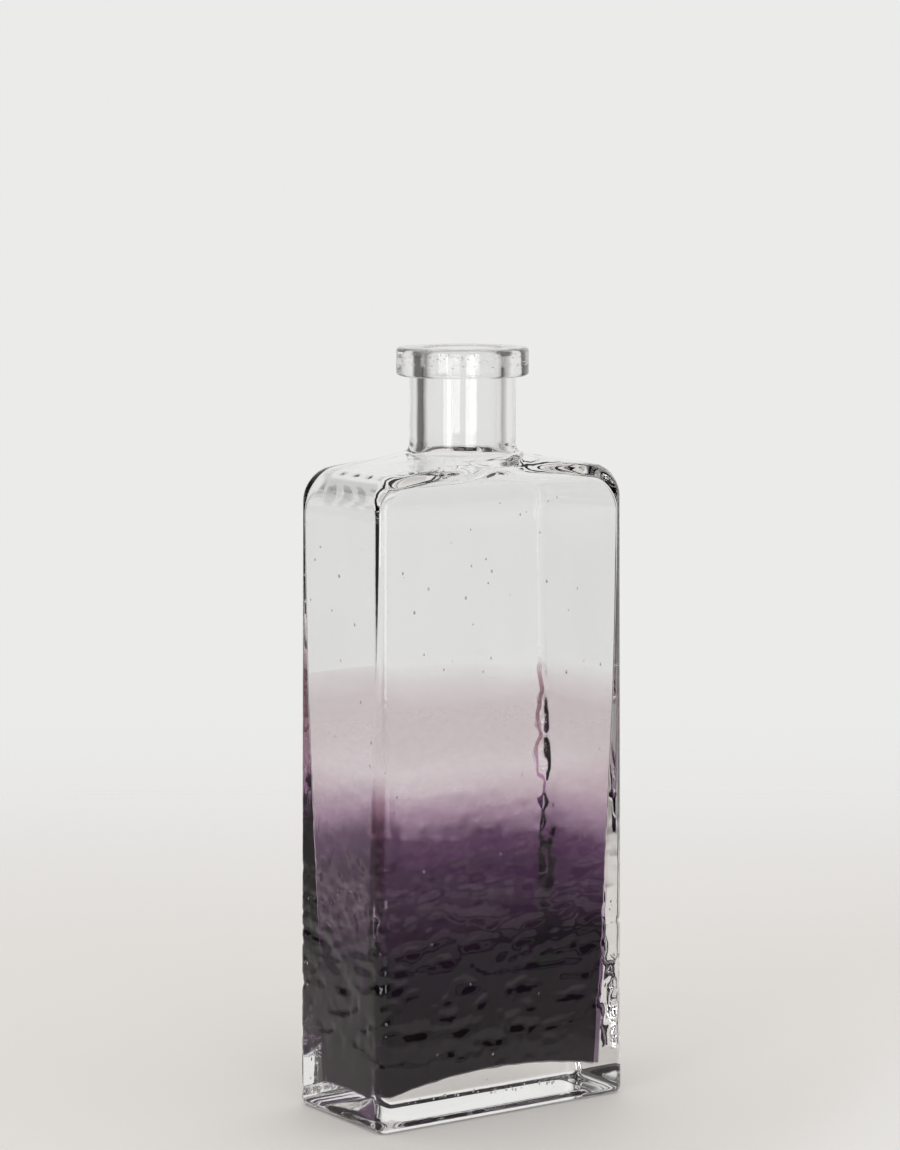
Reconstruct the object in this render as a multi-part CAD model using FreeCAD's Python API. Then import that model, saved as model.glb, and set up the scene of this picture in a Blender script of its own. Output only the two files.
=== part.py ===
import FreeCAD
import Part
import math
import os

from FreeCAD import Vector

# A rectangular hand-worked glass bottle: a clear mould-blown casing, an amethyst lining that feathers out
# upwards inside it, and a collar laid round the end of the neck.
# The origin is at the middle of the base, +Z is up, the wide sides face -Y and +Y.

# Driving dimensions, in millimetres and degrees
body_width = 102.0  # along X, at the base
body_depth = 52.0  # along Y, at the base
body_height = 209.0  # base to where the walls start to turn in
body_draft = 1.0  # how far each wall leans in over that height
edge_radius = 4.0  # the four upright edges
heel_radius = 2.5

end_turn = 10.0  # round over the narrow ends, measured along X
end_turn_rise = 11.0  # the same round, measured upright
end_turn_angle = 75.0  # where it runs out into the crown
edge_spread = 2.0  # how much rounder the upright edges are at the top of that round
crown_rise = 16.0  # from the start of the rounds up to the neck

neck_radius = 18.0
neck_length = 25.3  # from the crown to the underside of the collar
neck_flare = 1.0  # how much wider the neck is at its root
neck_flare_height = 3.0
bore_radius = 13.25
bore_flare = 3.5  # how much wider the bore is where it opens into the hollow
bore_flare_height = 7.0
mouth_radius = 1.5  # rounded edge where the bore meets the rim

lip_height = 9.7
lip_overhang = 4.5  # how far the collar stands out from the neck
lip_edge_radius = 1.3

wall_at_shoulder = 2.0
end_wall_at_base = 6.8  # the two narrow ends
end_wall_bend = 2.0  # how much of the thickening is near the base
side_wall_at_base = 12.0  # the two wide sides
side_wall_bend = 1.4
crown_wall = 4.5  # glass over the top of the hollow, measured upright
hollow_edge_radius = 1.5  # upright edges of the hollow
floor_thickness = 8.5  # glass under the hollow, at its narrow ends
floor_dome = 5.0  # how far the floor of the hollow is pushed up in the middle
floor_edge_radius = 2.5
push_up = 1.5  # depth of the shallow recess under the base
push_up_slope = 5.0  # how far the recess's sides lean in
rest_rim = 5.0  # width of the flat rim that the bottle stands on

lining_height = 150.0  # base to the lining's feather edge
lining_wall = 1.2  # thickness at the base
lining_feather = 0.2  # thickness at the feather edge

overcut = 1.0  # how far cutting shapes run past the faces that they cut
circle_end_angle = 28.0  # half the stretch of a round section that meets a narrow end
circle_corner_angle = 24.0  # the stretch that meets a corner
turn_steps = 4  # sections that draw the rounds over the ends
crown_steps = 3  # sections that draw the crown
wall_steps = 4  # sections that draw the tapering walls
loft_degree = 3  # smoothness of the surfaces through those sections

# Heights that follow from them
neck_start = body_height + crown_rise
lip_start = neck_start + neck_length
total_height = lip_start + lip_height
hollow_height = body_height - crown_wall


def rounded_rectangle(half_x, half_y, radius, z):
    """A level outline of four lines and four arcs, anticlockwise from the +X side."""
    turn = radius * math.sqrt(0.5)
    arcs = []
    for side_x, side_y in ((1, 1), (-1, 1), (-1, -1), (1, -1)):
        centre = Vector(side_x * (half_x - radius), side_y * (half_y - radius), z)
        on_x = centre + Vector(side_x * radius, 0, 0)
        on_y = centre + Vector(0, side_y * radius, 0)
        middle = centre + Vector(side_x * turn, side_y * turn, 0)
        arcs.append((on_x, middle, on_y) if side_x == side_y else (on_y, middle, on_x))
    edges = []
    for i, (start, middle, end) in enumerate(arcs):
        edges.append(Part.LineSegment(arcs[i - 1][2], start).toShape())
        edges.append(Part.Arc(start, middle, end).toShape())
    return Part.Wire(edges)


def round_section(radius, z):
    """A level circle of eight arcs that pair with the lines and corners of a rounded rectangle."""

    def at(angle):
        turn = math.radians(angle)
        return Vector(radius * math.cos(turn), radius * math.sin(turn), z)

    angles = []
    for quarter in range(4):
        lean = circle_end_angle if quarter % 2 == 0 else 90.0 - circle_end_angle - circle_corner_angle
        angles += [90.0 * quarter - lean, 90.0 * quarter + lean]
    angles.append(angles[0] + 360.0)
    arcs = [Part.Arc(at(a), at((a + b) / 2), at(b)).toShape() for a, b in zip(angles, angles[1:])]
    return Part.Wire(arcs)


def half_sides(z):
    """Half the width and half the depth of the body at a height."""
    lean = body_draft * z / body_height
    return body_width / 2 - lean, body_depth / 2 - lean


def walls(z):
    """The walls of the narrow ends and of the wide sides at a height: they thin out upwards."""
    share = 1.0 - z / body_height
    end = wall_at_shoulder + (end_wall_at_base - wall_at_shoulder) * share**end_wall_bend
    side = wall_at_shoulder + (side_wall_at_base - wall_at_shoulder) * share**side_wall_bend
    return end, side


def inside(z, coat):
    """Half the width and half the depth of the hollow at a height, less a coat on its walls."""
    half_x, half_y = half_sides(z)
    end, side = walls(z)
    return half_x - end - coat, half_y - side - coat


def lining(z):
    """The lining thins out evenly to its feather edge."""
    return lining_wall + (lining_feather - lining_wall) * z / lining_height


def shoulder(half_x, half_y, radius, start, top_radius, top):
    """The rounds over the four sides and the crown, from a rounded rectangle up to a circle."""

    def side(z):
        share = (z - start) / (top - start)
        return top_radius + (half_y - top_radius) * math.sqrt(1.0 - share**2)

    sections = []
    for step in range(turn_steps + 1):
        turn = math.radians(end_turn_angle * step / turn_steps)
        edge = radius + edge_spread * step / turn_steps
        end = half_x - end_turn * (1.0 - math.cos(turn))
        z = start + end_turn_rise * math.sin(turn)
        sections.append(rounded_rectangle(end, side(z), edge, z))
    crown = ((end, top_radius), (z, top), (edge, top_radius))
    for step in range(1, crown_steps):
        end, z, edge = [low + (high - low) * step / crown_steps for low, high in crown]
        sections.append(rounded_rectangle(end, side(z), edge, z))
    sections.append(round_section(top_radius, top))
    return Part.makeLoft(sections, True, False, False, loft_degree)


def line(start, end):
    """A straight edge between two points given as (radius, height)."""
    return Part.LineSegment(Vector(start[0], 0, start[1]), Vector(end[0], 0, end[1])).toShape()


def arc(start, centre, end):
    """An arc of under half a turn about a centre, all points given as (radius, height)."""
    middle = Vector((start[0] + end[0]) / 2 - centre[0], 0, (start[1] + end[1]) / 2 - centre[1])
    middle.normalize()
    middle.multiply(math.hypot(start[0] - centre[0], start[1] - centre[1]))
    middle += Vector(centre[0], 0, centre[1])
    return Part.Arc(Vector(start[0], 0, start[1]), middle, Vector(end[0], 0, end[1])).toShape()


def flare(radius, extra, start, height):
    """A hollow arc that runs upright into a cylinder of the radius, from a rim wider by extra."""
    sweep = (extra**2 + height**2) / (2 * extra)
    return arc((radius + extra, start), (radius + sweep, start + height), (radius, start + height))


def turned(edges):
    """A solid of revolution about Z from a closed outline."""
    return Part.Face(Part.Wire(edges)).revolve(Vector(0, 0, 0), Vector(0, 0, 1), 360)


def outer_body():
    """The outside of the casing, as if it were solid glass."""
    sections = [rounded_rectangle(*half_sides(z), edge_radius, z) for z in (0.0, body_height)]
    body = Part.makeLoft(sections, True, True)
    heel = [edge for edge in body.Edges if edge.BoundBox.ZMax < heel_radius]
    body = body.makeFillet(heel_radius, heel)
    top = shoulder(*half_sides(body_height), edge_radius, body_height, neck_radius + neck_flare, neck_start)
    root = neck_start + neck_flare_height
    neck = turned([
        line((0, neck_start), (neck_radius + neck_flare, neck_start)),
        flare(neck_radius, neck_flare, neck_start, neck_flare_height),
        line((neck_radius, root), (neck_radius, total_height)),
        line((neck_radius, total_height), (0, total_height)),
        line((0, total_height), (0, neck_start)),
    ])
    return body.fuse([top, neck]).removeSplitter()


def base_recess():
    """The shallow push-up under the base, which leaves a flat rim to stand on."""
    half_x = body_width / 2 - heel_radius - rest_rim
    half_y = body_depth / 2 - heel_radius - rest_rim
    lean = push_up_slope / push_up
    sections = []
    for z in (-overcut, push_up):
        sections.append(rounded_rectangle(half_x - lean * z, half_y - lean * z, edge_radius, z))
    return Part.makeLoft(sections, True, True)


def dome(grow):
    """The ball whose top is the floor of the hollow, larger by grow."""
    half_length = body_width / 2 - end_wall_at_base
    ball = (half_length**2 + floor_dome**2) / (2 * floor_dome)
    return Part.makeSphere(ball + grow, Vector(0, 0, floor_thickness + floor_dome - ball))


def cup(coat, top, grow, edge):
    """The hollow up to a height, less a coat on its walls that may vary with height, on a domed floor."""
    sections = []
    for step in range(wall_steps + 1):
        z = top * step / wall_steps
        sections.append(rounded_rectangle(*inside(z, coat(z)), hollow_edge_radius, z))
    space = Part.makeLoft(sections, True, False, False, loft_degree).cut(dome(grow))
    floor = [face for face in space.Faces if isinstance(face.Surface, Part.Sphere)]
    return space.makeFillet(edge, floor[0].Edges)


def hollow():
    """The space inside the casing, from the floor out through the mouth."""
    space = cup(lambda z: 0.0, hollow_height, 0.0, floor_edge_radius)
    bore_start = neck_start - crown_wall
    bore_end = bore_start + bore_flare_height
    mouth = total_height - mouth_radius
    rim_radius = bore_radius + mouth_radius
    top = shoulder(*inside(hollow_height, 0.0), hollow_edge_radius, hollow_height,
                   bore_radius + bore_flare, bore_start)
    bore = turned([
        line((0, bore_start), (bore_radius + bore_flare, bore_start)),
        flare(bore_radius, bore_flare, bore_start, bore_flare_height),
        line((bore_radius, bore_end), (bore_radius, mouth)),
        arc((bore_radius, mouth), (rim_radius, mouth), (rim_radius, total_height)),
        line((rim_radius, total_height), (rim_radius, total_height + overcut)),
        line((rim_radius, total_height + overcut), (0, total_height + overcut)),
        line((0, total_height + overcut), (0, bore_start)),
    ])
    return space.fuse([top, bore]).removeSplitter()


def amethyst_lining(space):
    """The coloured cup on the floor and lower walls of the hollow."""
    slab = Part.makeBox(body_width, body_depth, lining_height, Vector(-body_width / 2, -body_depth / 2, 0))
    cavity = cup(lining, lining_height, lining_wall, floor_edge_radius - lining_wall)
    return space.common(slab).cut(cavity)


def lip_ring():
    """The collar round the end of the neck, flush with the rim."""
    lip_radius = neck_radius + lip_overhang
    round_radius = lip_radius - lip_edge_radius
    low = lip_start + lip_edge_radius
    high = total_height - lip_edge_radius
    return turned([
        line((neck_radius, lip_start), (round_radius, lip_start)),
        arc((round_radius, lip_start), (round_radius, low), (lip_radius, low)),
        line((lip_radius, low), (lip_radius, high)),
        arc((lip_radius, high), (round_radius, high), (round_radius, total_height)),
        line((round_radius, total_height), (neck_radius, total_height)),
        line((neck_radius, total_height), (neck_radius, lip_start)),
    ])


def main():
    space = hollow()
    parts = {
        "clear_casing": outer_body().cut([base_recess(), space]),
        "amethyst_lining": amethyst_lining(space),
        "lip_ring": lip_ring(),
    }
    os.makedirs("parts", exist_ok=True)
    for name, shape in parts.items():
        shape.exportStep(f"parts/{name}.step")
        box = shape.BoundBox
        print(name, "solids", len(shape.Solids), "valid", shape.isValid(), "volume", round(shape.Volume),
              "z", round(box.ZMin, 3), round(box.ZMax, 3))


main()
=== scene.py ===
import math

import bpy
import numpy as np
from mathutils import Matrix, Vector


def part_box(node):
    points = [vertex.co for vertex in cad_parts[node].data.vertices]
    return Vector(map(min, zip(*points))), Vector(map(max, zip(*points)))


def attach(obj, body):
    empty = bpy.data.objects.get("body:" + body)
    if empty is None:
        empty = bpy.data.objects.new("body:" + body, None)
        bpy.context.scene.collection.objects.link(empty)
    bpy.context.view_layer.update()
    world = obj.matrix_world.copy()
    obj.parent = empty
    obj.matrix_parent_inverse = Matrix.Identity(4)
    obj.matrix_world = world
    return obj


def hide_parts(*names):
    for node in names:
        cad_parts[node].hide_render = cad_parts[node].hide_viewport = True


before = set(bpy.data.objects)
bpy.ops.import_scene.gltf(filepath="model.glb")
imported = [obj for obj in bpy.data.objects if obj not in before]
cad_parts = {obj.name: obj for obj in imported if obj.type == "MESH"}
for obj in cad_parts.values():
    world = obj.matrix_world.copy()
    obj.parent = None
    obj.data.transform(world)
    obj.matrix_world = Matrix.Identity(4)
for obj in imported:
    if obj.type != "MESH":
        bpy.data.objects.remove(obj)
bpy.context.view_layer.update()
mm = 0.001
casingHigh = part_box("clear_casing")[1] / mm
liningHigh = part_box("amethyst_lining")[1] / mm
lipLow, lipHigh = [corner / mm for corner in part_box("lip_ring")]
print("frame loaded, casing", [round(v, 2) for v in casingHigh])

# Sizes of the bottle in millimetres; the outermost ones come from the frame
bottle = {
    "halfWidth": casingHigh.x, "halfDepth": casingHigh.y, "top": casingHigh.z,
    "wallTop": 209.0, "draft": 1.0, "edge": 4.0, "heel": 2.5,
    "endTurn": 10.0, "endTurnRise": 11.0, "endTurnAngle": 75.0, "edgeSpread": 2.0, "crownRise": 16.0,
    "neckRadius": 18.0, "neckFlare": 1.0, "neckFlareHeight": 3.0,
    "boreRadius": 13.25, "boreFlare": 3.5, "boreFlareHeight": 7.0, "mouthRound": 1.5,
    "wallAtShoulder": 2.0, "endWallAtBase": 6.8, "endWallBend": 2.0,
    "sideWallAtBase": 12.0, "sideWallBend": 1.4, "crownWall": 4.5,
    "hollowEdge": 1.2, "leastEdge": 0.2, "nearEdge": 2.2, "nearEdgeRun": (152.0, 112.0),
    "floorThickness": 8.5, "floorDome": 5.0, "floorRound": 2.5,
    "pushUp": 1.5, "pushUpSlope": 5.0, "restRim": 5.0,
}
neckStart = bottle["wallTop"] + bottle["crownRise"]
hollowTop = bottle["wallTop"] - bottle["crownWall"]

# Points round every level ring, and where a round ring meets the ends and corners of a square one, in degrees
ringPlan = {"end": 44, "corner": 12, "side": 88, "endLean": 28.0, "cornerLean": 24.0}


def smooth(low, high, value):
    share = np.clip((value - low) / (high - low), 0.0, 1.0)
    return share * share * (3.0 - 2.0 * share)


def ringRows():
    rows = []
    for quarter in range(4):
        onEnd = quarter % 2 == 0
        lean = ringPlan["endLean"] if onEnd else 90.0 - ringPlan["endLean"] - ringPlan["cornerLean"]
        runCount = ringPlan["end"] if onEnd else ringPlan["side"]
        for share in np.arange(runCount) / runCount:  # the straight run
            rows.append((90.0 * quarter, onEnd, 2 * share - 1, 0.0, 90.0 * quarter + lean * (2 * share - 1)))
        for share in np.arange(ringPlan["corner"]) / ringPlan["corner"]:  # the corner after it
            turn = 90.0 * quarter + lean + ringPlan["cornerLean"] * share
            rows.append((90.0 * quarter, onEnd, 1.0, 90.0 * share, turn))
    return np.array(rows, float).T


facing, onEnd, along, bend, turn = ringRows()
facing, bend, turn = np.radians(facing), np.radians(bend), np.radians(turn)


# The run and the corner after it on one side: 0 right end, 1 back, 2 left end, 3 front
def sideOf(quarter):
    return np.isclose(facing, quarter * math.pi / 2)


# A level ring of points, from a rounded rectangle at roundness 0 to an ellipse at 1
def ring(halfX, halfY, edge, z, roundness=0.0):
    out = np.where(onEnd, halfX, halfY) - edge + edge * np.cos(bend)
    side = along * (np.where(onEnd, halfY, halfX) - edge) + edge * np.sin(bend)
    x = out * np.cos(facing) - side * np.sin(facing)
    y = out * np.sin(facing) + side * np.cos(facing)
    x = x + (halfX * np.cos(turn) - x) * roundness
    y = y + (halfY * np.sin(turn) - y) * roundness
    return np.column_stack([x, y, z + 0.0 * x])


def circle(radius, z):
    return ring(radius, radius, radius / 2, z, 1.0)


def bodyRing(z, edge, endInset=0.0, sideInset=0.0):
    lean = bottle["draft"] * z / bottle["wallTop"]
    return ring(bottle["halfWidth"] - lean - endInset, bottle["halfDepth"] - lean - sideInset, edge, z)


# The walls of the narrow ends and of the wide sides, with a coat on their inner faces
def wallsAt(z, coat=0.0):
    share = 1.0 - z / bottle["wallTop"]
    least = bottle["wallAtShoulder"]
    end = least + (bottle["endWallAtBase"] - least) * share ** bottle["endWallBend"]
    side = least + (bottle["sideWallAtBase"] - least) * share ** bottle["sideWallBend"]
    return np.array([end + coat, side + coat])


# The round over the narrow ends, then the crown that runs into a circle
def shoulderRings(halfX, halfY, edge, start, topRadius, top, steps, crownSteps):
    def sideAt(z):
        return topRadius + (halfY - topRadius) * math.sqrt(1.0 - ((z - start) / (top - start)) ** 2)

    rings = []
    for step in range(steps + 1):
        share = step / steps
        angle = math.radians(bottle["endTurnAngle"] * share)
        end = halfX - bottle["endTurn"] * (1.0 - math.cos(angle))
        z = start + bottle["endTurnRise"] * math.sin(angle)
        turnEdge = edge + bottle["edgeSpread"] * share
        rings.append(ring(end, sideAt(z), turnEdge, z))
    for step in range(1, crownSteps + 1):
        share = step / crownSteps
        crownEnd = end + (topRadius - end) * share
        crownZ = z + (top - z) * share
        crownEdge = turnEdge + (topRadius - turnEdge) * share
        rings.append(ring(crownEnd, sideAt(crownZ), crownEdge, crownZ, smooth(0.0, 1.0, share)))
    return rings


# A hollow arc that runs upright into a cylinder
def flareRings(radius, extra, start, height, steps):
    sweep = (extra ** 2 + height ** 2) / (2 * extra)
    rings = []
    for step in range(steps + 1):
        angle = math.asin(height / sweep) * (1.0 - step / steps)
        wide = radius + sweep * (1.0 - math.cos(angle))
        rings.append(circle(wide, start + height - sweep * math.sin(angle)))
    return rings


def floorAt(x, y):
    halfLength = bottle["halfWidth"] - bottle["endWallAtBase"]
    ball = (halfLength ** 2 + bottle["floorDome"] ** 2) / (2 * bottle["floorDome"])
    return bottle["floorThickness"] + bottle["floorDome"] - ball + np.sqrt(ball ** 2 - x ** 2 - y ** 2)


# The hollow's back corner on the right wanders as it goes down, in millimetres
# A wave is its length, its height and where it starts
seam = {
    "reach": 4.0, "lean": -1.3, "from": (18.0, 40.0), "to": (160.0, 118.0),
    "waves": ((43.0, 0.65, 0.3), (17.0, 0.8, 1.9), (9.0, 0.5, 0.7), (5.2, 0.3, 2.2)),
}


# A level ring of the hollow, rounder in the near corner
def hollowRing(z, edge, endInset, sideInset):
    points = bodyRing(z, edge, endInset, sideInset)
    growth = (bottle["nearEdge"] - bottle["hollowEdge"]) * smooth(*bottle["nearEdgeRun"], z)
    rounder = bodyRing(z, edge + growth, endInset, sideInset)
    onFront = np.where(sideOf(3) & (bend == 0.0), -along, 0.0)
    share = np.where(sideOf(2), np.maximum(along, bend > 0.0), onFront)
    points = points + (rounder - points) * np.clip(share, 0.0, 1.0)[:, None]
    z = points[:, 2]
    shift = seam["lean"] + 0.0 * z
    for length, high, start in seam["waves"]:
        shift = shift + high * np.sin(2 * math.pi * z / length + start)
    shift = shift * smooth(*seam["from"], z) * smooth(*seam["to"], z)
    away = np.where(sideOf(0), (1.0 - along) * bottle["halfDepth"], (1.0 + along) * bottle["halfWidth"])
    near = np.where(sideOf(0) | sideOf(1) & (bend == 0.0), 1.0 - smooth(0.0, seam["reach"], away), 0.0)
    return points + np.column_stack([shift * near, 0.0 * z, 0.0 * z])


# The walls and the domed floor of the hollow, from the given height down to the middle of the floor
def cupRings(insetsAt, top, lift, floorRound, wallSteps, floorSteps, roundSteps=6):
    edge = bottle["hollowEdge"]
    startZ = bottle["floorThickness"] + bottle["floorRound"]
    foot = hollowRing(startZ, edge, *insetsAt(startZ))
    low = floorAt(foot[:, 0], foot[:, 1]) + lift + floorRound
    rings = []
    for step in range(wallSteps + 1):
        z = top + (low - top) * step / wallSteps
        rings.append(hollowRing(z, edge, *insetsAt(z)))
    for step in range(1, roundSteps + 1):
        angle = math.radians(90.0 * step / roundSteps)
        inset = floorRound * (1.0 - math.cos(angle))
        points = hollowRing(low, max(edge - inset, bottle["leastEdge"]), *(insetsAt(low) + inset))
        points[:, 2] = floorAt(points[:, 0], points[:, 1]) + lift + floorRound * (1.0 - math.sin(angle))
        rings.append(points)
    rim = rings[-1]
    for step in range(1, floorSteps):
        points = rim * (1.0 - step / floorSteps)
        points[:, 2] = floorAt(points[:, 0], points[:, 1]) + lift
        rings.append(points)
    rings.append(np.array([[0.0, 0.0, floorAt(0.0, 0.0) + lift]]))
    return rings


# One ring of a skin: ripple and chill are heights in millimetres
# What is fused and the bed for seeds hold for the faces after it
def row(points, ripple=0.0, chill=0.0, depth=1.0, raised=0.0, thin=0.0, fused=0.0, seedBed=0.0):
    return {"points": points, "ripple": ripple * mm, "chill": chill * mm, "depth": depth, "raised": raised,
            "thin": thin, "fused": fused, "seedBed": seedBed}


# A skin of quads through the rings, in order
# A ring of one point is a pole, and a loop joins its last ring to its first
def skin(name, rows, loop=False):
    faces, sizes = [], [len(r["points"]) for r in rows]
    starts = np.concatenate([[0], np.cumsum(sizes)]).tolist()
    faceTraits = {"fused": [], "seedBed": []}
    for index in range(len(rows) if loop else len(rows) - 1):
        after = (index + 1) % len(rows)
        here, there = starts[index], starts[after]
        size = max(sizes[index], sizes[after])
        for i in range(size):
            j = (i + 1) % size
            if sizes[index] == 1:
                faces.append((here, there + j, there + i))
            elif sizes[after] == 1:
                faces.append((here + i, here + j, there))
            else:
                faces.append((here + i, here + j, there + j, there + i))
        for trait, values in faceTraits.items():
            values += np.broadcast_to(rows[index][trait], size).tolist()
    mesh = bpy.data.meshes.new(name)
    mesh.from_pydata((np.vstack([r["points"] for r in rows]) * mm).tolist(), [], faces)
    for trait, values in faceTraits.items():
        mesh.attributes.new(trait, "FLOAT", "FACE").data.foreach_set("value", values)
    for trait in ("ripple", "chill", "depth", "raised", "thin"):
        values = np.concatenate([np.broadcast_to(r[trait], size) for r, size in zip(rows, sizes)])
        mesh.attributes.new(trait, "FLOAT", "POINT").data.foreach_set("value", values)
    mesh.polygons.foreach_set("use_smooth", [True] * len(mesh.polygons))
    piece = bpy.data.objects.new(name, mesh)
    bpy.context.scene.collection.objects.link(piece)
    return piece


def hexToLinear(code):
    channels = [int(code[i:i + 2], 16) / 255 for i in (1, 3, 5)]
    return tuple(c / 12.92 if c <= 0.04045 else ((c + 0.055) / 1.055) ** 2.4 for c in channels) + (1.0,)


# One node with its settings, its input values and its links
def addNode(tree, kind, settings=None, values=None, links=None):
    node = tree.nodes.new(kind)
    for name, value in (settings or {}).items():
        setattr(node, name, value)
    for name, value in (values or {}).items():
        node.inputs[name].default_value = value
    for name, socket in (links or {}).items():
        tree.links.new(socket, node.inputs[name])
    return node


# A colour ramp through places from 0 to 1 and their hex colours
def addRamp(tree, place, colours):
    ramp = addNode(tree, "ShaderNodeValToRGB", links={"Fac": place})
    stops = ramp.color_ramp.elements
    while len(stops) < len(colours):
        stops.new(0.5)
    for stop, (position, colour) in zip(stops, colours):
        stop.position = position
        stop.color = hexToLinear(colour)
    return ramp.outputs["Color"]


def newMaterial(name):
    material = bpy.data.materials.new(name)
    material.use_nodes = True
    material.node_tree.nodes.clear()
    return material, material.node_tree


# Clear soda-lime glass, blown and fire polished
# Bright and colourless face on, grey where light runs along a wall, with cords and waves sized in millimetres
clearGlass = {
    "ior": 1.52, "pale": "#ffffff", "cord": "#fbfbfa", "cordSize": 9.0, "cordStretch": 0.3, "cordDetail": 2.0,
    "waveSize": 3.0, "waveDepth": 0.008, "waveDetail": 1.0,
}


def makeClearGlass():
    material, tree = newMaterial("soda-lime glass, blown and fire polished")
    place = addNode(tree, "ShaderNodeTexCoord").outputs["Object"]
    drawn = addNode(tree, "ShaderNodeMapping", values={"Scale": (1.0, 1.0, clearGlass["cordStretch"])},
                    links={"Vector": place})
    cords = addNode(tree, "ShaderNodeTexNoise",
                    values={"Scale": 1 / (clearGlass["cordSize"] * mm), "Detail": clearGlass["cordDetail"]},
                    links={"Vector": drawn.outputs["Vector"]})
    colour = addNode(tree, "ShaderNodeMix", {"data_type": "RGBA"},
                     {6: hexToLinear(clearGlass["pale"]), 7: hexToLinear(clearGlass["cord"])},
                     {"Factor": cords.outputs["Fac"]})
    waves = addNode(tree, "ShaderNodeTexNoise",
                    values={"Scale": 1 / (clearGlass["waveSize"] * mm), "Detail": clearGlass["waveDetail"]},
                    links={"Vector": place})
    bump = addNode(tree, "ShaderNodeBump", values={"Distance": clearGlass["waveDepth"] * mm},
                   links={"Height": waves.outputs["Fac"]})
    joint = addNode(tree, "ShaderNodeAttribute", {"attribute_name": "fused"})
    shown = addNode(tree, "ShaderNodeMath", {"operation": "SUBTRACT"}, {0: 1.0}, {1: joint.outputs["Fac"]})
    glass = addNode(tree, "ShaderNodeBsdfPrincipled",
                    values={"Roughness": 0.0, "IOR": clearGlass["ior"], "Transmission Weight": 1.0},
                    links={"Base Color": colour.outputs[2], "Alpha": shown.outputs[0],
                           "Normal": bump.outputs["Normal"]})
    addNode(tree, "ShaderNodeOutputMaterial", links={"Surface": glass.outputs[0]})
    return material


# Amethyst glass, gathered first and cased over: it thins out upwards, from near black through lilac to none
# Tints are by height, and a raised place takes the tint of one so much higher; all lengths in millimetres
amethyst = {
    "ior": 1.52, "fusedIor": 1.0,
    "tint": ((0.0, "#5f4a62"), (42.0, "#523e56"), (57.0, "#352137"), (70.0, "#3e2443"), (81.0, "#4a2d52"),
             (90.0, "#6f5075"), (99.0, "#cbb4ce"), (107.5, "#f2e6ef"), (114.0, "#f3e8ef"),
             (122.0, "#ebe0e5"), (130.0, "#e7dce1"), (137.0, "#e6dbdf"), (144.0, "#f0e8eb"),
             (149.0, "#faf8f9"), (152.0, "#ffffff")),
    "lift": 28.0, "thin": "#4a2f4a", "drift": 8.0, "driftSize": (45.0, 45.0, 14.0), "driftDetail": 3.0,
}


def makeAmethyst(name, ior):
    material, tree = newMaterial(name)
    place = addNode(tree, "ShaderNodeTexCoord").outputs["Object"]
    spread = addNode(tree, "ShaderNodeMapping",
                     values={"Scale": tuple(1 / (size * mm) for size in amethyst["driftSize"])},
                     links={"Vector": place})
    drift = addNode(tree, "ShaderNodeTexNoise", values={"Scale": 1.0, "Detail": amethyst["driftDetail"]},
                    links={"Vector": spread.outputs["Vector"]})
    height = addNode(tree, "ShaderNodeSeparateXYZ", links={0: place})
    shift = addNode(tree, "ShaderNodeMapRange", values={"To Max": amethyst["drift"] * mm},
                    links={"Value": drift.outputs["Fac"]})
    raised = addNode(tree, "ShaderNodeAttribute", {"attribute_name": "raised"})
    near = addNode(tree, "ShaderNodeMath", {"operation": "MULTIPLY_ADD"}, {1: amethyst["lift"] * mm},
                   {0: raised.outputs["Fac"], 2: height.outputs["Z"]})
    level = addNode(tree, "ShaderNodeMath", {"operation": "ADD"},
                    links={0: near.outputs[0], 1: shift.outputs["Result"]})
    top = amethyst["tint"][-1][0]
    share = addNode(tree, "ShaderNodeMapRange", values={"From Max": top * mm},
                    links={"Value": level.outputs[0]})
    tint = addRamp(tree, share.outputs["Result"], [(z / top, colour) for z, colour in amethyst["tint"]])
    thin = addNode(tree, "ShaderNodeAttribute", {"attribute_name": "thin"})
    least = addNode(tree, "ShaderNodeMix", {"data_type": "RGBA"},
                    {6: (0.0, 0.0, 0.0, 1.0), 7: hexToLinear(amethyst["thin"])},
                    {"Factor": thin.outputs["Fac"]})
    shade = addNode(tree, "ShaderNodeMix", {"data_type": "RGBA", "blend_type": "LIGHTEN"}, {"Factor": 1.0},
                    {6: tint, 7: least.outputs[2]})
    # The depth trait deepens the colour as a power; in the near and back-right corners this is painted shade
    depth = addNode(tree, "ShaderNodeAttribute", {"attribute_name": "depth"})
    colour = addNode(tree, "ShaderNodeGamma",
                     links={"Color": shade.outputs[2], "Gamma": depth.outputs["Fac"]})
    glass = addNode(tree, "ShaderNodeBsdfPrincipled",
                    values={"Roughness": 0.0, "IOR": ior, "Transmission Weight": 1.0},
                    links={"Base Color": colour.outputs["Color"]})
    addNode(tree, "ShaderNodeOutputMaterial", links={"Surface": glass.outputs[0]})
    return material


# Grain of hand-worked glass: how soft or torn each pattern is, and how seeds vary in depth and size
grain = {
    "pebbleBlend": 0.6, "rippleDetail": 2.0, "rippleRoughness": 0.45,
    "markDetail": 3.0, "markRoughness": 0.6, "markEdge": (0.5, 0.63),
    "seedSink": (-1.0, -0.4), "seedSizes": (0.3, 1.0), "seedSegments": 8, "seedRings": 6,
}


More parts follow.
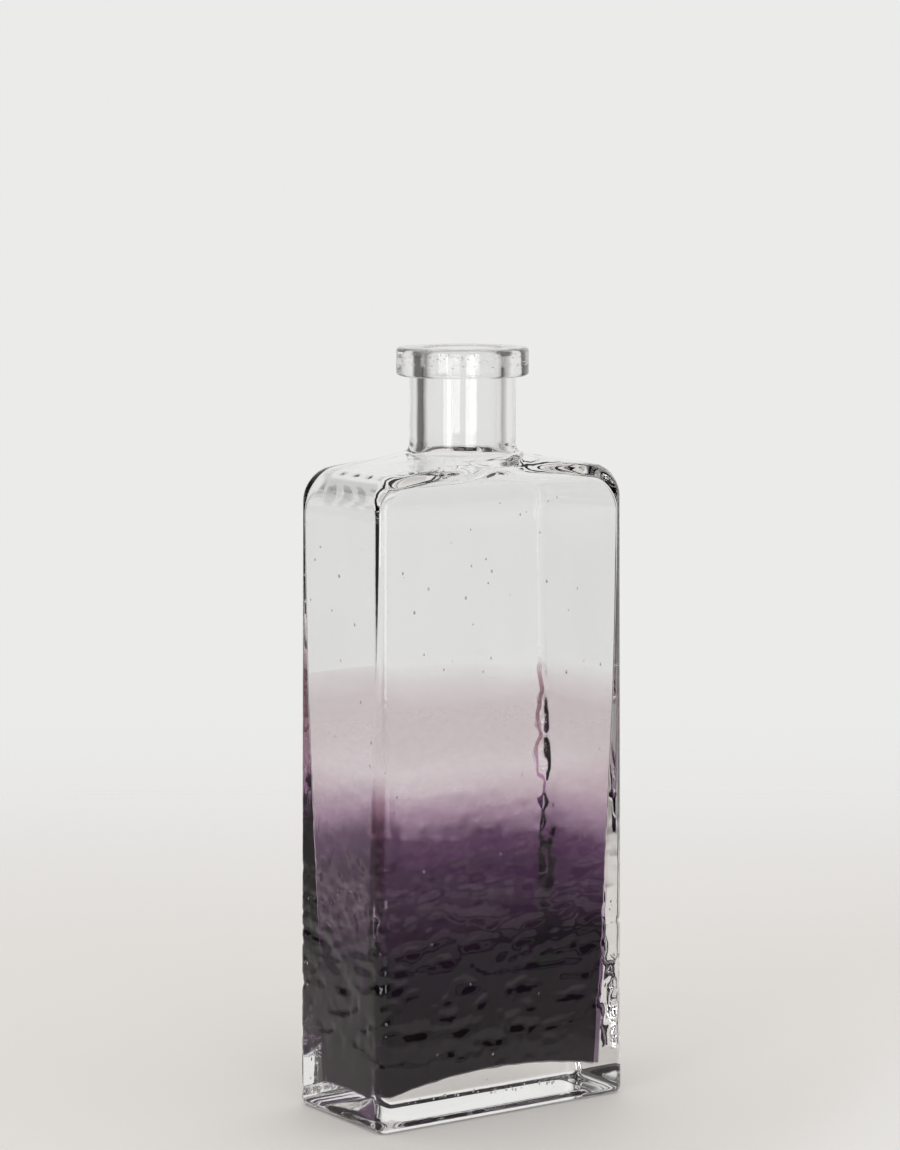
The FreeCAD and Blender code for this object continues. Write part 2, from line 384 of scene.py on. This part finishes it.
# Geometry Nodes: ripples and chill marks along the surface, and seeds scattered in the wall
def handWorkedTree():
    tree = bpy.data.node_groups.new("handWorkedGlass", "GeometryNodeTree")
    face = tree.interface
    face.new_socket("Geometry", in_out="INPUT", socket_type="NodeSocketGeometry")
    for name in ("pebbleSize", "rippleLength", "rippleHeight", "evenLevel", "markLength", "markHeight",
                 "seedDensity", "seedRadius", "seedStretch", "seedDepth"):
        face.new_socket(name, in_out="INPUT", socket_type="NodeSocketFloat")
    face.new_socket("seed", in_out="INPUT", socket_type="NodeSocketInt")
    for name in ("glass", "fusedGlass"):
        face.new_socket(name, in_out="INPUT", socket_type="NodeSocketMaterial")
    face.new_socket("Geometry", in_out="OUTPUT", socket_type="NodeSocketGeometry")
    given = addNode(tree, "NodeGroupInput").outputs
    place = addNode(tree, "GeometryNodeInputPosition").outputs[0]

    def maths(operation, first, second):
        links = {i: v for i, v in enumerate((first, second)) if not isinstance(v, float)}
        values = {i: v for i, v in enumerate((first, second)) if isinstance(v, float)}
        return addNode(tree, "ShaderNodeMath", {"operation": operation}, values, links).outputs[0]

    def trait(name):
        held = addNode(tree, "GeometryNodeInputNamedAttribute", {"data_type": "FLOAT"}, {"Name": name})
        return held.outputs["Attribute"]

    # A random number for each seed
    def chance(limits):
        drawn = addNode(tree, "FunctionNodeRandomValue", {"data_type": "FLOAT"}, {2: limits[0], 3: limits[1]},
                        {"Seed": given["seed"]})
        return drawn.outputs[1]

    # Noise that is longer along the level than it is high
    def levelNoise(length, height, detail, roughness):
        along, up = maths("DIVIDE", 1.0, length), maths("DIVIDE", 1.0, height)
        scale = addNode(tree, "ShaderNodeCombineXYZ", links={0: along, 1: along, 2: up})
        flat = addNode(tree, "ShaderNodeVectorMath", {"operation": "MULTIPLY"},
                       links={0: place, 1: scale.outputs[0]})
        noise = addNode(tree, "ShaderNodeTexNoise",
                        values={"Scale": 1.0, "Detail": detail, "Roughness": roughness},
                        links={"Vector": flat.outputs[0]})
        return noise.outputs["Fac"]

    # Pebbles and ripples are soft; chill marks are dents with edges and flat glass between them
    pebble = addNode(tree, "ShaderNodeTexVoronoi", {"feature": "SMOOTH_F1"},
                     {"Smoothness": grain["pebbleBlend"]},
                     {"Vector": place, "Scale": maths("DIVIDE", 1.0, given["pebbleSize"])})
    wave = levelNoise(given["rippleLength"], given["rippleHeight"],
                      grain["rippleDetail"], grain["rippleRoughness"])
    soft = maths("SUBTRACT", maths("ADD", pebble.outputs["Distance"], wave), given["evenLevel"])
    torn = levelNoise(given["markLength"], given["markHeight"], grain["markDetail"], grain["markRoughness"])
    markLow, markHigh = grain["markEdge"]
    mark = addNode(tree, "ShaderNodeMapRange", values={"From Min": markLow, "From Max": markHigh},
                   links={"Value": torn})
    rise = maths("ADD", maths("MULTIPLY", soft, trait("ripple")),
                 maths("MULTIPLY", mark.outputs["Result"], trait("chill")))
    normal = addNode(tree, "GeometryNodeInputNormal").outputs[0]
    push = addNode(tree, "ShaderNodeVectorMath", {"operation": "SCALE"}, links={0: normal, "Scale": rise})
    worked = addNode(tree, "GeometryNodeSetPosition",
                     links={"Geometry": given["Geometry"], "Offset": push.outputs[0]})

    # Seeds are small bubbles drawn out upright; their faces are flipped, because the glass lies outside them
    density = maths("MULTIPLY", trait("seedBed"), given["seedDensity"])
    spots = addNode(tree, "GeometryNodeDistributePointsOnFaces",
                    links={"Mesh": worked.outputs[0], "Density": density, "Seed": given["seed"]})
    sink = maths("MULTIPLY", chance(grain["seedSink"]), given["seedDepth"])
    inward = addNode(tree, "ShaderNodeVectorMath", {"operation": "SCALE"},
                     links={0: spots.outputs["Normal"], "Scale": sink})
    sunk = addNode(tree, "GeometryNodeSetPosition",
                   links={"Geometry": spots.outputs["Points"], "Offset": inward.outputs[0]})
    loose = addNode(tree, "GeometryNodeRemoveAttribute", values={"Name": "fused"},  # stays a trait of faces
                    links={"Geometry": sunk.outputs[0]})
    ball = addNode(tree, "GeometryNodeMeshUVSphere",
                   values={"Segments": grain["seedSegments"], "Rings": grain["seedRings"], "Radius": 1.0})
    flipped = addNode(tree, "GeometryNodeFlipFaces", links={0: ball.outputs[0]})
    bubble = addNode(tree, "GeometryNodeSetShadeSmooth", links={0: flipped.outputs[0]})
    radius = maths("MULTIPLY", chance(grain["seedSizes"]), given["seedRadius"])
    size = addNode(tree, "ShaderNodeCombineXYZ",
                   links={0: radius, 1: radius, 2: maths("MULTIPLY", radius, given["seedStretch"])})
    bubbles = addNode(tree, "GeometryNodeInstanceOnPoints",
                      links={"Points": loose.outputs[0], "Instance": bubble.outputs[0],
                             "Scale": size.outputs[0]})
    whole = addNode(tree, "GeometryNodeJoinGeometry")
    tree.links.new(bubbles.outputs[0], whole.inputs[0])
    tree.links.new(worked.outputs[0], whole.inputs[0])
    real = addNode(tree, "GeometryNodeRealizeInstances", links={0: whole.outputs[0]})
    glass = addNode(tree, "GeometryNodeSetMaterial",
                    links={"Geometry": real.outputs[0], "Material": given["glass"]})
    onJoint = maths("GREATER_THAN", trait("fused"), 0.5)
    fused = addNode(tree, "GeometryNodeSetMaterial",
                    links={"Geometry": glass.outputs[0], "Selection": onJoint,
                           "Material": given["fusedGlass"]})
    addNode(tree, "NodeGroupOutput", links={0: fused.outputs[0]})
    return tree


# Runs the tree on a piece with its settings, and leaves a plain mesh
def workGlass(piece, tree, settings):
    modifier = piece.modifiers.new("handWorked", "NODES")
    modifier.node_group = tree
    for socket in tree.interface.items_tree:
        if socket.in_out == "INPUT" and socket.name in settings:
            modifier[socket.identifier] = settings[socket.name]
    depsgraph = bpy.context.evaluated_depsgraph_get()
    mesh = bpy.data.meshes.new_from_object(piece.evaluated_get(depsgraph), preserve_all_data_layers=True,
                                           depsgraph=depsgraph)
    mesh.name = piece.name
    piece.modifiers.remove(modifier)
    piece.data = mesh
    while None in list(mesh.materials):  # the bubbles bring in an empty slot
        mesh.materials.pop(index=list(mesh.materials).index(None))
    mesh.set_sharp_from_angle(angle=math.radians(hand["sharpAngle"]))
    mesh.calc_loop_triangles()
    print(piece.name, len(mesh.loop_triangles), "triangles", [m.name for m in mesh.materials])


# What the hand and the mould left, in millimetres, with settings for the tree in metres
# The hollow is even near the shoulder and rippled below the middle, and the outside is smooth high up
# and marked low down, where it met the cold mould first
hand = {
    "ripple": 0.45, "rippleRun": (142.0, 98.0), "mark": -0.55, "markRun": (105.0, 60.0),
    "pebble": -0.1, "pebbleRun": (122.0, 95.0), "heelRun": (12.0, 30.0), "leftEnd": 2.2, "rightEnd": 0.0,
    "endSeeds": 5.0, "endSeedRun": (20.0, 90.0),
    "footSeeds": 310.0, "footRun": (-0.85, 0.5), "footLevel": (8.0, -1.9), "sharpAngle": 50.0,
    "settings": {"pebbleSize": 0.0055, "rippleLength": 0.022, "rippleHeight": 0.006, "evenLevel": 0.87,
                 "markLength": 0.013, "markHeight": 0.0045, "seedDensity": 1500.0, "seedRadius": 0.00045,
                 "seedStretch": 1.5, "seedDepth": 0.0018, "seed": 11},
}


# The right-hand end came out smooth
def calmRight():
    return np.where(sideOf(0), hand["rightEnd"], 1.0)


def rippleAt(z):
    return hand["ripple"] * smooth(*hand["rippleRun"], z) * calmRight()


# Pebbles and marks die out above the heel, and the left end is pebbled the most
def pebbleAt(z):
    sides = np.where(sideOf(2), hand["leftEnd"], calmRight())
    return hand["pebble"] * smooth(*hand["pebbleRun"], z) * smooth(*hand["heelRun"], z) * sides


def markAt(z):
    return hand["mark"] * smooth(*hand["markRun"], z) * smooth(*hand["heelRun"], z) * calmRight()


# Seeds lie thinly all over, closer in the right-hand end, and in a sloping line along the foot of the front
def seedsAt(z):
    low, high = hand["endSeedRun"]
    level, slope = hand["footLevel"]
    start, end = hand["footRun"]
    inLine = abs(z - level - slope * along) < casing["markedStep"] / 2
    foot = sideOf(3) & (along > start) & (along < end) & inLine
    inEnd = sideOf(0) & (low < z < high)
    return np.where(foot, hand["footSeeds"], np.where(inEnd, hand["endSeeds"], 1.0))


# Casing: the outer skin, neck and rim, then down the bore and the hollow to its floor
casing = {
    "recessSteps": 6, "slopeSteps": 6, "heelSteps": 6, "markedStep": 1.3, "plainStep": 6.0, "plainGap": 1.0,
    "turnSteps": 14, "crownSteps": 12, "neckFlareSteps": 4, "neckStep": 2.0, "rimSteps": 4, "mouthSteps": 5,
    "boreStep": 2.0, "boreFlareSteps": 8, "hollowStep": 1.5, "fusedStep": 8.0, "floorSteps": 8,
    "neckRipple": -0.03, "boreRipple": 0.04,
}


def casingRows():
    rows = []

    def add(rings, **traits):
        rows.extend(row(points, **traits) for points in rings)

    # Under the base: the pushed-up recess, its slope, the rest rim and the heel
    edge = bottle["edge"]
    rimInset = bottle["heel"] + bottle["restRim"]
    slope = bottle["pushUpSlope"]
    recess = bodyRing(0.0, edge, rimInset + slope, rimInset + slope)
    add([np.array([[0.0, 0.0, bottle["pushUp"]]])])
    for step in range(1, casing["recessSteps"]):
        add([recess * (step / casing["recessSteps"]) + (0, 0, bottle["pushUp"])])
    for step in range(casing["slopeSteps"] + 1):
        share = step / casing["slopeSteps"]
        inset = rimInset + slope * (1.0 - share)
        points = bodyRing(0.0, edge, inset, inset)
        points[:, 2] = bottle["pushUp"] * (1.0 - smooth(0.0, 1.0, share))
        add([points])
    for step in range(casing["heelSteps"] + 1):
        angle = math.radians(90.0 * step / casing["heelSteps"])
        inset = bottle["heel"] * (1.0 - math.sin(angle))
        points = bodyRing(0.0, edge - inset, inset, inset)
        points[:, 2] = bottle["heel"] * (1.0 - math.cos(angle))
        add([points])

    # The outside walls, the shoulder, the neck and its end inside the lip
    marked = np.arange(bottle["heel"] + casing["markedStep"], hand["pebbleRun"][0], casing["markedStep"])
    plainTop = bottle["wallTop"] - casing["plainGap"]
    plain = np.arange(marked[-1] + casing["plainStep"], plainTop, casing["plainStep"])
    for z in np.concatenate([marked, plain]):
        add([bodyRing(z, edge)], ripple=pebbleAt(z), chill=markAt(z), seedBed=seedsAt(z))
    lean = bottle["draft"]
    steps = casing["turnSteps"], casing["crownSteps"]
    add(shoulderRings(bottle["halfWidth"] - lean, bottle["halfDepth"] - lean, edge, bottle["wallTop"],
                      bottle["neckRadius"] + bottle["neckFlare"], neckStart, *steps)[:-1])
    add(flareRings(bottle["neckRadius"], bottle["neckFlare"], neckStart, bottle["neckFlareHeight"],
                   casing["neckFlareSteps"]), ripple=casing["neckRipple"])
    neckLow = neckStart + bottle["neckFlareHeight"]
    levels = int((lipLow.z - neckLow) / casing["neckStep"])
    for step in range(1, levels):
        z = neckLow + (lipLow.z - neckLow) * step / levels
        add([circle(bottle["neckRadius"], z)], ripple=casing["neckRipple"])
    add([circle(bottle["neckRadius"], lipLow.z)], fused=1.0)

    # The rim, the rounded mouth, the bore and the inside of the shoulder
    mouthRadius = bottle["boreRadius"] + bottle["mouthRound"]
    for step in range(casing["rimSteps"] + 1):
        share = step / casing["rimSteps"]
        add([circle(bottle["neckRadius"] + (mouthRadius - bottle["neckRadius"]) * share, bottle["top"])])
    mouthZ = bottle["top"] - bottle["mouthRound"]
    for step in range(1, casing["mouthSteps"] + 1):
        angle = math.radians(90.0 * step / casing["mouthSteps"])
        radius = mouthRadius - bottle["mouthRound"] * math.sin(angle)
        add([circle(radius, mouthZ + bottle["mouthRound"] * math.cos(angle))])
    boreLow = neckStart - bottle["crownWall"]
    boreHigh = boreLow + bottle["boreFlareHeight"]
    levels = int((mouthZ - boreHigh) / casing["boreStep"])
    for step in range(1, levels):
        z = mouthZ + (boreHigh - mouthZ) * step / levels
        add([circle(bottle["boreRadius"], z)], ripple=casing["boreRipple"])
    add(flareRings(bottle["boreRadius"], bottle["boreFlare"], boreLow, bottle["boreFlareHeight"],
                   casing["boreFlareSteps"])[::-1])
    endInset, sideInset = wallsAt(hollowTop, bottle["draft"] * hollowTop / bottle["wallTop"])
    add(shoulderRings(bottle["halfWidth"] - endInset, bottle["halfDepth"] - sideInset, bottle["hollowEdge"],
                      hollowTop, bottle["boreRadius"] + bottle["boreFlare"], boreLow, *steps)[-2:0:-1])

    # The bare inner wall, then the wall and floor that the lining is fused to
    levels = int((hollowTop - liningHigh.z) / casing["hollowStep"])
    for step in range(levels):
        z = hollowTop + (liningHigh.z - hollowTop) * step / levels
        add([hollowRing(z, bottle["hollowEdge"], *wallsAt(z))])
    cup = cupRings(wallsAt, liningHigh.z, 0.0, bottle["floorRound"], int(liningHigh.z / casing["fusedStep"]),
                   casing["floorSteps"])
    add(cup, fused=1.0)
    return rows


# Lining: its outside is fused to the casing all over, and its inside is the wall of the hollow
lining = {
    "wall": 1.2, "feather": 0.2, "edge": 0.006, "edgeRun": 40.0, "gap": 0.006,
    "wallStep": 1.1, "floorSteps": 14,
    # The two corner values deepen the colour in the near corner and the back one on the right: painted shade
    "nearCornerShade": 3.0, "backCornerShade": 4.0, "floorDepth": 2.0, "thinRun": (18.0, 60.0),
    "backLeft": -0.25, "backLeftRun": (0.25, 0.5), "backRight": 0.12, "backRightRun": (-0.3, -0.8),
}


def liningAt(z):
    even = lining["wall"] + (lining["feather"] - lining["wall"]) * z / liningHigh.z
    grown = smooth(liningHigh.z, liningHigh.z - lining["edgeRun"], z)
    return lining["edge"] + (even - lining["edge"]) * grown


# The colour goes through the whole lining, but lies at its inner face on the right-hand end and the floor, so
# light that runs along that end and the base stays clear
# It is painted deepest in the near corner and in the back one on the right, as painted shade that darkens
# those corners
def depthAt(inside):
    blend = smooth(0.0, math.pi / 2, bend)
    rightEnd = np.where(sideOf(0), 1.0 - blend, np.where(sideOf(3), blend, 0.0))
    # Painted shade: the colour is deepened in the near corner and in the back corner on the right
    near = np.where(sideOf(2) & (bend > 0.0), lining["nearCornerShade"], 0.0)
    back = np.where(sideOf(0) & (bend > 0.0), lining["backCornerShade"], 0.0)
    return (1.0 + rightEnd if inside else 1.0 - rightEnd) + near + back


# The fade starts lower on the front and the left end, and tips a little along the back
def raisedAt():
    blend = smooth(0.0, math.pi / 2, bend)
    tip = lining["backRight"] * smooth(*lining["backRightRun"], along)
    tip = tip + lining["backLeft"] * smooth(*lining["backLeftRun"], along)
    back = np.where(sideOf(1), tip + (1.0 - tip) * blend, 0.0)
    return np.where(sideOf(2), 1.0, np.where(sideOf(3), 1.0 - blend, back))


# The left end and the left part of the back are thinly coated
def thinAt(z):
    back = np.where(sideOf(1), smooth(*lining["backLeftRun"], along), 0.0)
    return np.where(sideOf(2) & (bend == 0.0), 1.0, back) * smooth(*lining["thinRun"], z)


def liningRows():
    outsideLevels = int(liningHigh.z / casing["fusedStep"])
    insideLevels = int(liningHigh.z / lining["wallStep"])

    # Traits of the wall, which the floor doesn't have
    def wallTraits(points, isWall, inside):
        if isWall:
            return {"depth": depthAt(inside), "raised": raisedAt(), "thin": thinAt(points[:, 2])}
        return {"depth": lining["floorDepth"] if inside else 0.0}

    outside = cupRings(lambda z: wallsAt(z, lining["gap"]), liningHigh.z, lining["gap"], bottle["floorRound"],
                       outsideLevels, casing["floorSteps"])
    rows = []
    for i, points in enumerate(outside):
        rows.insert(0, row(points, fused=float(i > 0), **wallTraits(points, i <= outsideLevels, False)))
    inside = cupRings(lambda z: wallsAt(z, lining["gap"] + liningAt(z)), liningHigh.z, lining["wall"],
                      bottle["floorRound"] - lining["wall"], insideLevels, lining["floorSteps"])
    for i, points in enumerate(inside):
        ripple = rippleAt(points[:, 2].mean())[:len(points)]
        rows.append(row(points, ripple=ripple, **wallTraits(points, i <= insideLevels, True)))
    return rows


# Lip: a band of glass laid round the end of the neck, its inner face fused to it
lip = {
    "edgeRound": 1.3, "roundSteps": 5, "bandSteps": 4, "ripple": -0.03,
    "airLines": (7.0, 4.4), "airHeight": 0.8,
    "settings": {"evenLevel": 0.0, "seedDensity": 600000.0, "seedRadius": 0.0005, "seedStretch": 0.5,
                 "seedDepth": 0.0012},
}


def lipRows():
    outer = lipHigh.x
    centre = outer - lip["edgeRound"]
    low, high = lipLow.z + lip["edgeRound"], lipHigh.z - lip["edgeRound"]
    inner = bottle["neckRadius"]
    turns = [math.radians(90.0 * step / lip["roundSteps"]) for step in range(lip["roundSteps"] + 1)]
    rings = [circle(inner, lipLow.z), circle((inner + centre) / 2, lipLow.z)]
    for angle in turns:
        offset = lip["edgeRound"] * math.sin(angle), lip["edgeRound"] * math.cos(angle)
        rings.append(circle(centre + offset[0], low - offset[1]))
    for step in range(1, lip["bandSteps"]):
        rings.append(circle(outer, low + (high - low) * step / lip["bandSteps"]))
    for angle in turns:
        offset = lip["edgeRound"] * math.cos(angle), lip["edgeRound"] * math.sin(angle)
        rings.append(circle(centre + offset[0], high + offset[1]))
    rings.append(circle((inner + centre) / 2, lipHigh.z))
    rows = [row(rings[0]), row(rings[1])] + [row(points, ripple=lip["ripple"]) for points in rings[2:-1]]
    rows += [row(rings[-1]), row(circle(inner, lipHigh.z), fused=1.0)]
    for level in lip["airLines"]:  # air that was caught where the band laps the neck
        z = lipLow.z + level
        rows.append(row(circle(inner, z), fused=1.0, seedBed=1.0))
        rows.append(row(circle(inner, z - lip["airHeight"]), fused=1.0))
    return rows


casingPiece = skin("casing_glass", casingRows())
liningPiece = skin("lining_glass", liningRows())
lipPiece = skin("lip_glass", lipRows(), loop=True)
print("skins made")

clear = makeClearGlass()
inner = makeAmethyst("amethyst glass, fire polished", amethyst["ior"])
fusedFace = makeAmethyst("amethyst glass, fused face", amethyst["fusedIor"])
worked = handWorkedTree()
plain = hand["settings"] | {"seedDensity": 0.0}
allClear = {"glass": clear, "fusedGlass": clear}
workGlass(casingPiece, worked, hand["settings"] | allClear)
workGlass(liningPiece, worked, plain | {"glass": inner, "fusedGlass": fusedFace})
workGlass(lipPiece, worked, plain | allClear | lip["settings"])

for piece, node, slot in ((casingPiece, "clear_casing", "clear_glass"),
                          (liningPiece, "amethyst_lining", "amethyst_glass"),
                          (lipPiece, "lip_ring", "clear_glass")):
    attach(piece, "root")
    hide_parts(node)
print("pieces placed")

# Camera: fitted to the bottle's edges in the 900 by 1150 pixel photograph
camera = {
    "azimuth": -34.7, "distance": 1.231, "height": 0.328, "pitch": 6.75,
    "frame": (900, 1150), "focalPixels": 3640.0, "axisPixel": 462.5, "sensor": 36.0, "nearest": 0.01,
}


def towards(azimuth, distance, height):
    angle = math.radians(azimuth)
    return math.sin(angle) * distance, -math.cos(angle) * distance, height


def makeCamera():
    data = bpy.data.cameras.new("camera")
    data.sensor_width = camera["sensor"]
    data.lens = camera["sensor"] * camera["focalPixels"] / max(camera["frame"])
    data.clip_start = camera["nearest"]
    rig = bpy.data.objects.new("camera", data)
    aside = math.atan((camera["axisPixel"] - camera["frame"][0] / 2) / camera["focalPixels"])
    rig.location = towards(camera["azimuth"], camera["distance"], camera["height"])
    rig.rotation_euler = (math.radians(90.0 - camera["pitch"]), 0.0, math.radians(camera["azimuth"]) + aside)
    bpy.context.scene.collection.objects.link(rig)
    bpy.context.scene.camera = rig


# Stage: a sheet of pale paper that runs away from the camera into a pale surround, dimmer behind the camera
# A fade of the sheet is the way that it faces, its start and end in metres, and what is left of the paper
# Heights and sides of the surround are parts of a unit vector, and a side's colours go by how far it is behind
stage = {
    "radius": 1.7, "rings": 24, "drop": 0.00005,
    "paper": "#f4f0ec", "paperGlow": 0.12, "paperRoughness": 0.6, "paperSpecular": 0.2,
    "fades": ((-34.7, 0.2, 0.34, 0.0), (145.3, 0.0, 0.95, 0.0), (34.7, 0.1, 0.16, 0.55),
              (34.7, 0.28, 0.31, 0.0), (-124.7, 0.18, 0.42, 0.3)),
    "surround": "#ebebea", "brightAbove": (0.3, 0.7),
    "low": "#6e6c6a", "lowBelow": (-0.136, -0.15), "far": (0.92, 0.78),
    "leftSide": ((-1.0, "#acaaa8"), (0.38, "#acaaa8"), (0.5, "#5a5856"), (0.78, "#5a5856"),
                 (0.92, "#ebebea")),
    "rightSide": ((-1.0, "#acaaa8"), (0.4, "#acaaa8"), (0.55, "#b0aeac"), (0.7, "#c8c6c4"),
                  (0.84, "#ebebea")),
    "room": "#4c4a48", "roomAbove": (-0.06, -0.045), "roomSide": (0.6, 0.35),
    "lamps": ({"azimuth": -68.0, "distance": 1.5, "height": 0.33, "size": (0.45, 0.58), "power": 3.0},
              {"azimuth": -16.0, "distance": 1.9, "height": 0.25, "size": (0.75, 0.74), "power": 4.8}),
}


def makeFloor():
    centre = np.array([[0.0, 0.0, 0.0]])
    widths = [stage["radius"] / mm * step / stage["rings"] for step in range(1, stage["rings"] + 1)]
    rings = [centre] + [circle(wide, 0.0) for wide in widths]
    floor = skin("paper_floor", [row(points - (0, 0, stage["drop"] / mm)) for points in rings])
    floor.data.flip_normals()
    material, tree = newMaterial("matt paper")
    place = addNode(tree, "ShaderNodeTexCoord").outputs["Object"]

    alpha = None
    for azimuth, start, end, left in stage["fades"]:  # the edges of the sheet, by the way that they face
        run = addNode(tree, "ShaderNodeVectorMath", {"operation": "DOT_PRODUCT"},
                      {1: towards(azimuth, 1.0, 0.0)}, {0: place})
        fade = addNode(tree, "ShaderNodeMapRange", {"interpolation_type": "SMOOTHERSTEP"},
                       {"From Min": start, "From Max": end, "To Min": 1.0, "To Max": left},
                       {"Value": run.outputs["Value"]}).outputs["Result"]
        alpha = fade if alpha is None else addNode(tree, "ShaderNodeMath", {"operation": "MULTIPLY"},
                                                   links={0: alpha, 1: fade}).outputs[0]

    # Paler where it is seen, also through the glass or in it, without more light on the bottle
    path = addNode(tree, "ShaderNodeLightPath").outputs
    seen = path["Is Camera Ray"]
    for kind in ("Is Transmission Ray", "Is Glossy Ray"):
        either = addNode(tree, "ShaderNodeMath", {"operation": "MAXIMUM"}, links={0: seen, 1: path[kind]})
        seen = either.outputs[0]
    glow = addNode(tree, "ShaderNodeMath", {"operation": "MULTIPLY"}, {1: stage["paperGlow"]}, {0: seen})
    pale = hexToLinear(stage["paper"])
    paper = addNode(tree, "ShaderNodeBsdfPrincipled",
                    values={"Base Color": pale, "Emission Color": pale, "Roughness": stage["paperRoughness"],
                            "Specular IOR Level": stage["paperSpecular"]},
                    links={"Alpha": alpha, "Emission Strength": glow.outputs[0]})
    addNode(tree, "ShaderNodeOutputMaterial", links={"Surface": paper.outputs[0]})
    floor.data.materials.append(material)


def makeSurround():
    world = bpy.data.worlds.new("pale surround")
    world.use_nodes = True
    world.node_tree.nodes.clear()
    tree = world.node_tree
    toward = addNode(tree, "ShaderNodeTexCoord").outputs["Generated"]
    away = addNode(tree, "ShaderNodeVectorMath", {"operation": "DOT_PRODUCT"},
                   {1: towards(camera["azimuth"] + 180.0, 1.0, 0.0)}, {0: toward})
    share = addNode(tree, "ShaderNodeMapRange", values={"From Min": -1.0},
                    links={"Value": away.outputs["Value"]})

    def sideRamp(colours):
        return addRamp(tree, share.outputs["Result"], [((far + 1.0) / 2, colour) for far, colour in colours])

    aside = addNode(tree, "ShaderNodeVectorMath", {"operation": "DOT_PRODUCT"},
                    {1: towards(camera["azimuth"] + 90.0, 1.0, 0.0)}, {0: toward})
    toRight = addNode(tree, "ShaderNodeMath", {"operation": "GREATER_THAN"}, {1: 0.0},
                      {0: aside.outputs["Value"]})
    sides = addNode(tree, "ShaderNodeMix", {"data_type": "RGBA"},
                    links={"Factor": toRight.outputs[0], 6: sideRamp(stage["leftSide"]),
                           7: sideRamp(stage["rightSide"])})
    height = addNode(tree, "ShaderNodeSeparateXYZ", links={0: toward}).outputs["Z"]

    def between(limits, socket):
        return addNode(tree, "ShaderNodeMapRange", {"interpolation_type": "SMOOTHSTEP"},
                       {"From Min": limits[0], "From Max": limits[1]}, {"Value": socket}).outputs["Result"]

    def layer(under, colour, heights, aways):
        share = addNode(tree, "ShaderNodeMath", {"operation": "MULTIPLY"},
                        links={0: between(heights, height), 1: between(aways, away.outputs["Value"])})
        return addNode(tree, "ShaderNodeMix", {"data_type": "RGBA"}, {7: hexToLinear(colour)},
                       {6: under, "Factor": share.outputs[0]}).outputs[2]

    # A low dark zone and the dark room in front of the bottle, then the bright ceiling over all
    lowered = layer(sides.outputs[2], stage["low"], stage["lowBelow"], stage["far"])
    roomed = layer(lowered, stage["room"], stage["roomAbove"], stage["roomSide"])
    colour = addNode(tree, "ShaderNodeMix", {"data_type": "RGBA"}, {7: hexToLinear(stage["surround"])},
                     {6: roomed, "Factor": between(stage["brightAbove"], height)})
    pale = addNode(tree, "ShaderNodeBackground", links={"Color": colour.outputs[2]})
    addNode(tree, "ShaderNodeOutputWorld", links={"Surface": pale.outputs[0]})
    bpy.context.scene.world = world


def makeLamp(settings):
    data = bpy.data.lights.new("tall soft box", "AREA")
    data.shape = "RECTANGLE"
    data.size, data.size_y = settings["size"]
    data.energy = settings["power"]
    lamp = bpy.data.objects.new("tall soft box", data)
    lamp.location = towards(settings["azimuth"], settings["distance"], settings["height"])
    lamp.rotation_euler = (math.radians(90.0), 0.0, math.radians(settings["azimuth"]))
    lamp.visible_camera = False
    bpy.context.scene.collection.objects.link(lamp)


makeCamera()
makeFloor()
makeSurround()
for lampSettings in stage["lamps"]:
    makeLamp(lampSettings)
print("stage set")

scene = bpy.context.scene
scene.view_settings.view_transform = "Standard"
bounces = {"max_bounces": 40, "transmission_bounces": 40, "glossy_bounces": 16, "transparent_max_bounces": 40}
for limit, count in bounces.items():  # a ray may cross many faces of clear glass
    setattr(scene.cycles, limit, count)
